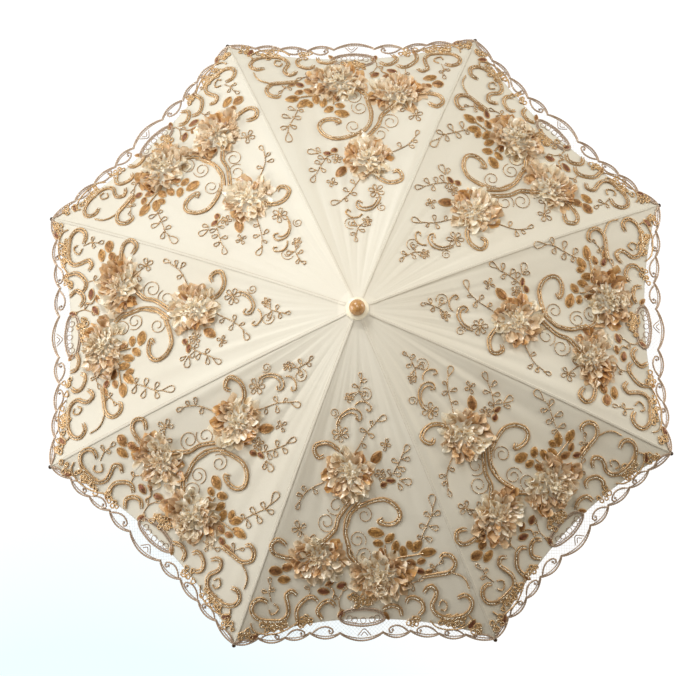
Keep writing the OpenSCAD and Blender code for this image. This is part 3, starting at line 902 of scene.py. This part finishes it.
PLAIN = {
    # light tone, dark tone, metallic, roughness, the grain's scale, detail and distortion, relief, coat
    "wood": ((0.53, 0.29, 0.10), (0.33, 0.15, 0.04), 0.0, 0.35, 420.0, 5.0, 0.4, 0.08, 0.4),
    "ivory_plastic": ((0.86, 0.79, 0.62), (0.80, 0.71, 0.53), 0.0, 0.35, 220.0, 4.0, 0.0, 0.08, 0.2),
    "brass": ((0.80, 0.60, 0.28), (0.62, 0.43, 0.17), 1.0, 0.28, 300.0, 6.0, 0.2, 0.2),
    "shaft_steel": ((0.62, 0.62, 0.64), (0.52, 0.52, 0.54), 1.0, 0.22, 350.0, 6.0, 0.2, 0.02),
    "rib_steel": ((0.70, 0.69, 0.66), (0.55, 0.54, 0.52), 1.0, 0.34, 500.0, 6.0, 0.2, 0.2),
    "spring_steel": ((0.55, 0.55, 0.57), (0.40, 0.40, 0.43), 1.0, 0.3, 500.0, 6.0, 0.2, 0.2),
    "wire": ((0.62, 0.62, 0.63), (0.48, 0.48, 0.50), 1.0, 0.3, 700.0, 6.0, 0.2, 0.2),
    "tip_metal": ((0.10, 0.06, 0.03), (0.05, 0.03, 0.02), 0.7, 0.35, 500.0, 6.0, 0.2, 0.2),
}
NODE_MATERIALS = {name: plain_material(name, *values) for name, values in PLAIN.items()}
NODE_MATERIALS["satin"] = SATIN


def dress_frame():
    """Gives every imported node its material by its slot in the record."""
    for row in frame["record"]["subparts"]:
        node = frame["nodes"][row["node"]]
        node.data.materials.clear()
        node.data.materials.append(NODE_MATERIALS[row["material_slot"]])


dress_frame()


# ---------- pieces of one half gore ----------

def folds_with(made, rib):
    """Rides on the rib, with a mesh of its own."""
    body = f"rib_{rib}"
    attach(made, body)
    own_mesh(made)


def cloth_patch(azimuth, side):
    """Half a gore of satin, from its rib to the middle line, as a thin closed sheet."""
    rows, cols = 110, 44
    share = np.linspace(0, 1, cols)[None]
    down = np.linspace(0, 1, rows)[:, None]
    slope = math.tan(HALF) * (1 - share) * side
    end = np.full_like(share, TIP_Y)
    for _ in range(30):
        end = hem_y(end * slope)
    start = CLOTH_R0 * math.cos(HALF)
    y = start + (end - start) * down
    x = y * slope
    layers = [lay(np.stack([x, y, np.full_like(x, h)], -1), azimuth) for h in (0, CLOTH_T)]
    cloth = Patch()
    top = layers[1] if side > 0 else layers[1][:, ::-1]
    low = layers[0] if side < 0 else layers[0][:, ::-1]
    cloth.grid(top)
    cloth.grid(low)
    count = rows * cols
    upper = np.arange(count).reshape(rows, cols)
    lower = np.arange(count, 2 * count).reshape(rows, cols)[:, ::-1]
    for a, b in ((upper[0], lower[0]), (upper[-1][::-1], lower[-1][::-1]), (upper[::-1, 0], lower[::-1, 0]),
                 (upper[:, -1], lower[:, -1])):
        cloth.quads.append(np.stack([a[:-1], b[:-1], b[1:], a[1:]], -1))
    area = float(np.linalg.norm(np.cross(layers[0][1:, :-1] - layers[0][:-1, :-1],
                                         layers[0][:-1, 1:] - layers[0][:-1, :-1]), axis=-1).sum())
    normal = cloth_normal(x, y, azimuth)
    flipped = normal[:, ::-1]
    normals = np.concatenate([(normal if side > 0 else flipped).reshape(-1, 3),
                              -(normal if side < 0 else flipped).reshape(-1, 3)])
    return cloth, normals, area


def build_half(rib, side):
    """Cloth and lace of one half gore; side 1 is the half clockwise of the rib, and -1 the other."""
    azimuth = HALF + (rib - 1) * 2 * HALF - side * HALF
    label = f"{rib}_{'a' if side > 0 else 'b'}"
    rng = random.Random(100 * rib + side)
    cords, beads, petals, leaves, net, edging = Patch(), Patch(), Patch(), Patch(), Patch(), Patch()

    def mine(points):
        return np.mean([p[0] for p in points]) * side > 0

    for points, bead_side in SCROLLS.values():
        if mine(points):
            add_scroll(cords, beads, points, bead_side, rng)
    for points in CORDS.values():
        if mine(points):
            add_thread(cords, beads, points, rng, 0.0010, 0.45)
    for stem, loops in SPRIGS:
        if mine(stem):
            add_thread(cords, beads, stem, rng)
            for x, y, heading, length in loops:
                add_thread(cords, beads, loop_points(x, y, heading + rng.uniform(-8, 8), length), rng)
    for x, y, radius, count in DAISIES:
        if x * side > 0:
            for i in range(count):
                add_thread(cords, beads, loop_points(x, y, 360 * i / count + 20, radius), rng)
    for x, y, radius, start, hand in CURLS:
        if x * side > 0:
            add_thread(cords, beads, curl_points(x, y, radius, start, hand), rng, 0.0005, 0.6)
    for x, y, heading, length, width, tone in LEAVES:
        if x * side > 0:
            add_leaf(leaves, cords, x, y, heading, length, width, tone, rng)
    for x, y, wide, deep in KNOTS:
        if x * side > 0:
            add_knot(cords, beads, x, y, wide, deep, rng)
    for x, y, wide, deep, outer, petal, pale, brown in FLOWERS:
        if x * side > 0:
            add_flower(petals, x, y, wide, deep, outer, petal, pale, brown, rng)
    if side > 0:
        add_rose(petals, 21, 326, 10, rng)
    add_medallion(edging, side)
    add_net(net, side)
    add_edge(edging, side, rng)
    add_rib_edge(edging, side)

    cloth, normals, area = cloth_patch(azimuth, side)
    satin = make_object(f"satin_{label}", cloth, SATIN, normals=normals)
    trims = []
    for name, patch, material, slot in (
            ("cords", cords, GIMP, "lace_cord"), ("beads", beads, BEADS, "lace_cord"),
            ("petals", petals, PETALS, "petal_ribbon"), ("leaves", leaves, LEAF, "leaf_thread"),
            ("net", net, NET, "net"), ("edging", edging, EDGING, "lace_cord")):
        if patch.count:
            patch.lay(azimuth, name not in ("net", "edging"))
            trims.append(make_object(f"{name}_{label}", patch, material, name != "beads"))
    for made in [satin] + trims:
        folds_with(made, rib)
    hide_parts(f"canopy_{rib}")


def build_seam(rib):
    """The felled seam over a rib: a low folded strip, its edge line and one row of stitches; the edge line is a
    thread darker than the satin that paints the shadow along the strip's edge.
    """
    azimuth = HALF + (rib - 1) * 2 * HALF
    strip, thread = Patch(), Patch()
    r = np.linspace(SEAM_START, TIP_R + 0.001, 200)
    z = cloth_height(r) + CLOTH_T

    def slim(at):
        """The seam's share of its full width, which narrows to the rib tip."""
        return (smooth((TIP_R + 0.004 - at) / 0.03) * 0.7 + 0.3)[:, None]

    across = np.array([-1.75, -1.7, -0.9, 0, 0.9, 1.7, 1.75]) * MM
    lift = np.array([-0.1, 0.25, 0.34, 0.42, 0.4, 0.36, -0.1]) * MM
    along = np.broadcast_to(r[:, None], (len(r), len(across)))
    strip.grid(np.stack([along, across[None] * slim(r), z[:, None] + lift[None]], -1))
    turn = np.linspace(0, 2 * np.pi, 5, endpoint=False)[None]

    def sew(at, aside, height, radius):
        """A length of thread through the distances at from the axis, aside of the rib's middle."""
        out = np.broadcast_to(at[:, None], (len(at), 5))
        beside = aside * slim(at) + radius * np.cos(turn)
        up = (cloth_height(at) + CLOTH_T + height)[:, None] + radius * np.sin(turn)
        thread.grid(np.stack([out, beside, up], -1), 0.5, None, wrap=True)

    # painted shadow: this unbroken darker thread along the strip's edge stands for the shadow line there
    sew(r, -1.9 * MM, 0.1 * MM, 0.22 * MM)
    stitch, pitch = 0.0022, 0.0036
    for start in np.arange(0.018, TIP_R - 0.004, pitch):
        sew(np.linspace(start, start + stitch, 4), 1.1 * MM, np.array([0.1, 0.4, 0.4, 0.1]) * MM, 0.15 * MM)
    c, s = math.cos(azimuth), math.sin(azimuth)
    turned = np.array([[c, -s, 0], [s, c, 0], [0, 0, 1]])
    for patch in (strip, thread):
        patch.points = [np.concatenate(patch.points) @ turned.T]
    for name, patch, material, slot in (("seam", strip, SEAM, "satin"),
                                        ("seam_stitches_and_edge_shadow", thread, STITCH_AND_EDGE_SHADOW, "leaf_thread")):
        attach(make_object(f"{name}_{rib}", patch, material), f"rib_{rib}")


for rib in range(1, GORES + 1):
    for side in (1, -1):
        build_half(rib, side)
    build_seam(rib)


# ---------- stage and light ----------

def build_stage():
    """A plain pale floor well below the handle, white with a soft patch of pale blue in front on the left."""
    look = Look(bpy.data.materials.new("floor"))
    patch = look.texture("Gradient", gradient_type="SPHERICAL")
    look.mapped(patch, Location=(-0.45, -0.75, 0))
    tint = look.ramp(patch, (0.2, grey(0.90)), (0.55, (0.72, 0.83, 0.88)))
    look.shade(Emission_Color=tint, Emission_Strength=1.05, Base_Color=look.mix(0.85, tint, grey(0.0)),
               Roughness=0.8)
    bpy.ops.mesh.primitive_plane_add(size=40, location=(0, 0, FLOOR_Z))
    floor = bpy.context.object
    floor.name = "floor"
    floor.data.materials.append(look.owner)


def add_light(name, place, size, power, colour):
    """A round soft light that faces the canopy."""
    lamp = bpy.data.lights.new(name, "AREA")
    lamp.shape = "DISK"
    lamp.size = size
    lamp.energy = power
    lamp.color = colour
    made = bpy.data.objects.new(name, lamp)
    made.location = place
    made.rotation_euler = (Vector((0, 0, 0.45)) - Vector(place)).to_track_quat("-Z", "Y").to_euler()
    bpy.context.scene.collection.objects.link(made)


def light_scene():
    """Soft lights behind, left and right, a dim studio above and a pale band along the horizon."""
    look = Look(bpy.data.worlds.new("studio"))
    where = look.nodes.new("ShaderNodeTexCoord")
    split = look.nodes.new("ShaderNodeSeparateXYZ")
    look.give(split.inputs[0], where.outputs["Generated"])
    sky = look.ramp(split.outputs["Z"], (0.0, (0.84, 0.83, 0.81)), (0.08, (0.62, 0.60, 0.57)),
                    (0.35, (0.115, 0.099, 0.076)))
    look.give(look.nodes["Background"].inputs["Color"], sky)
    bpy.context.scene.world = look.owner
    add_light("key", (-1.2, 2.4, 2.9), 1.5, 90, (0.95, 0.985, 1.0))
    add_light("side", (-3.4, -0.3, 1.2), 2.2, 92, (0.98, 0.99, 1.0))
    add_light("fill", (3.2, 1.0, 1.1), 1.8, 55, (1.0, 0.96, 0.88))
    add_light("top", (0.0, 0.05, 1.2), 0.3, 1.9, (1.0, 0.98, 0.95))
    bpy.context.scene.view_settings.view_transform = "Standard"


build_stage()
light_scene()
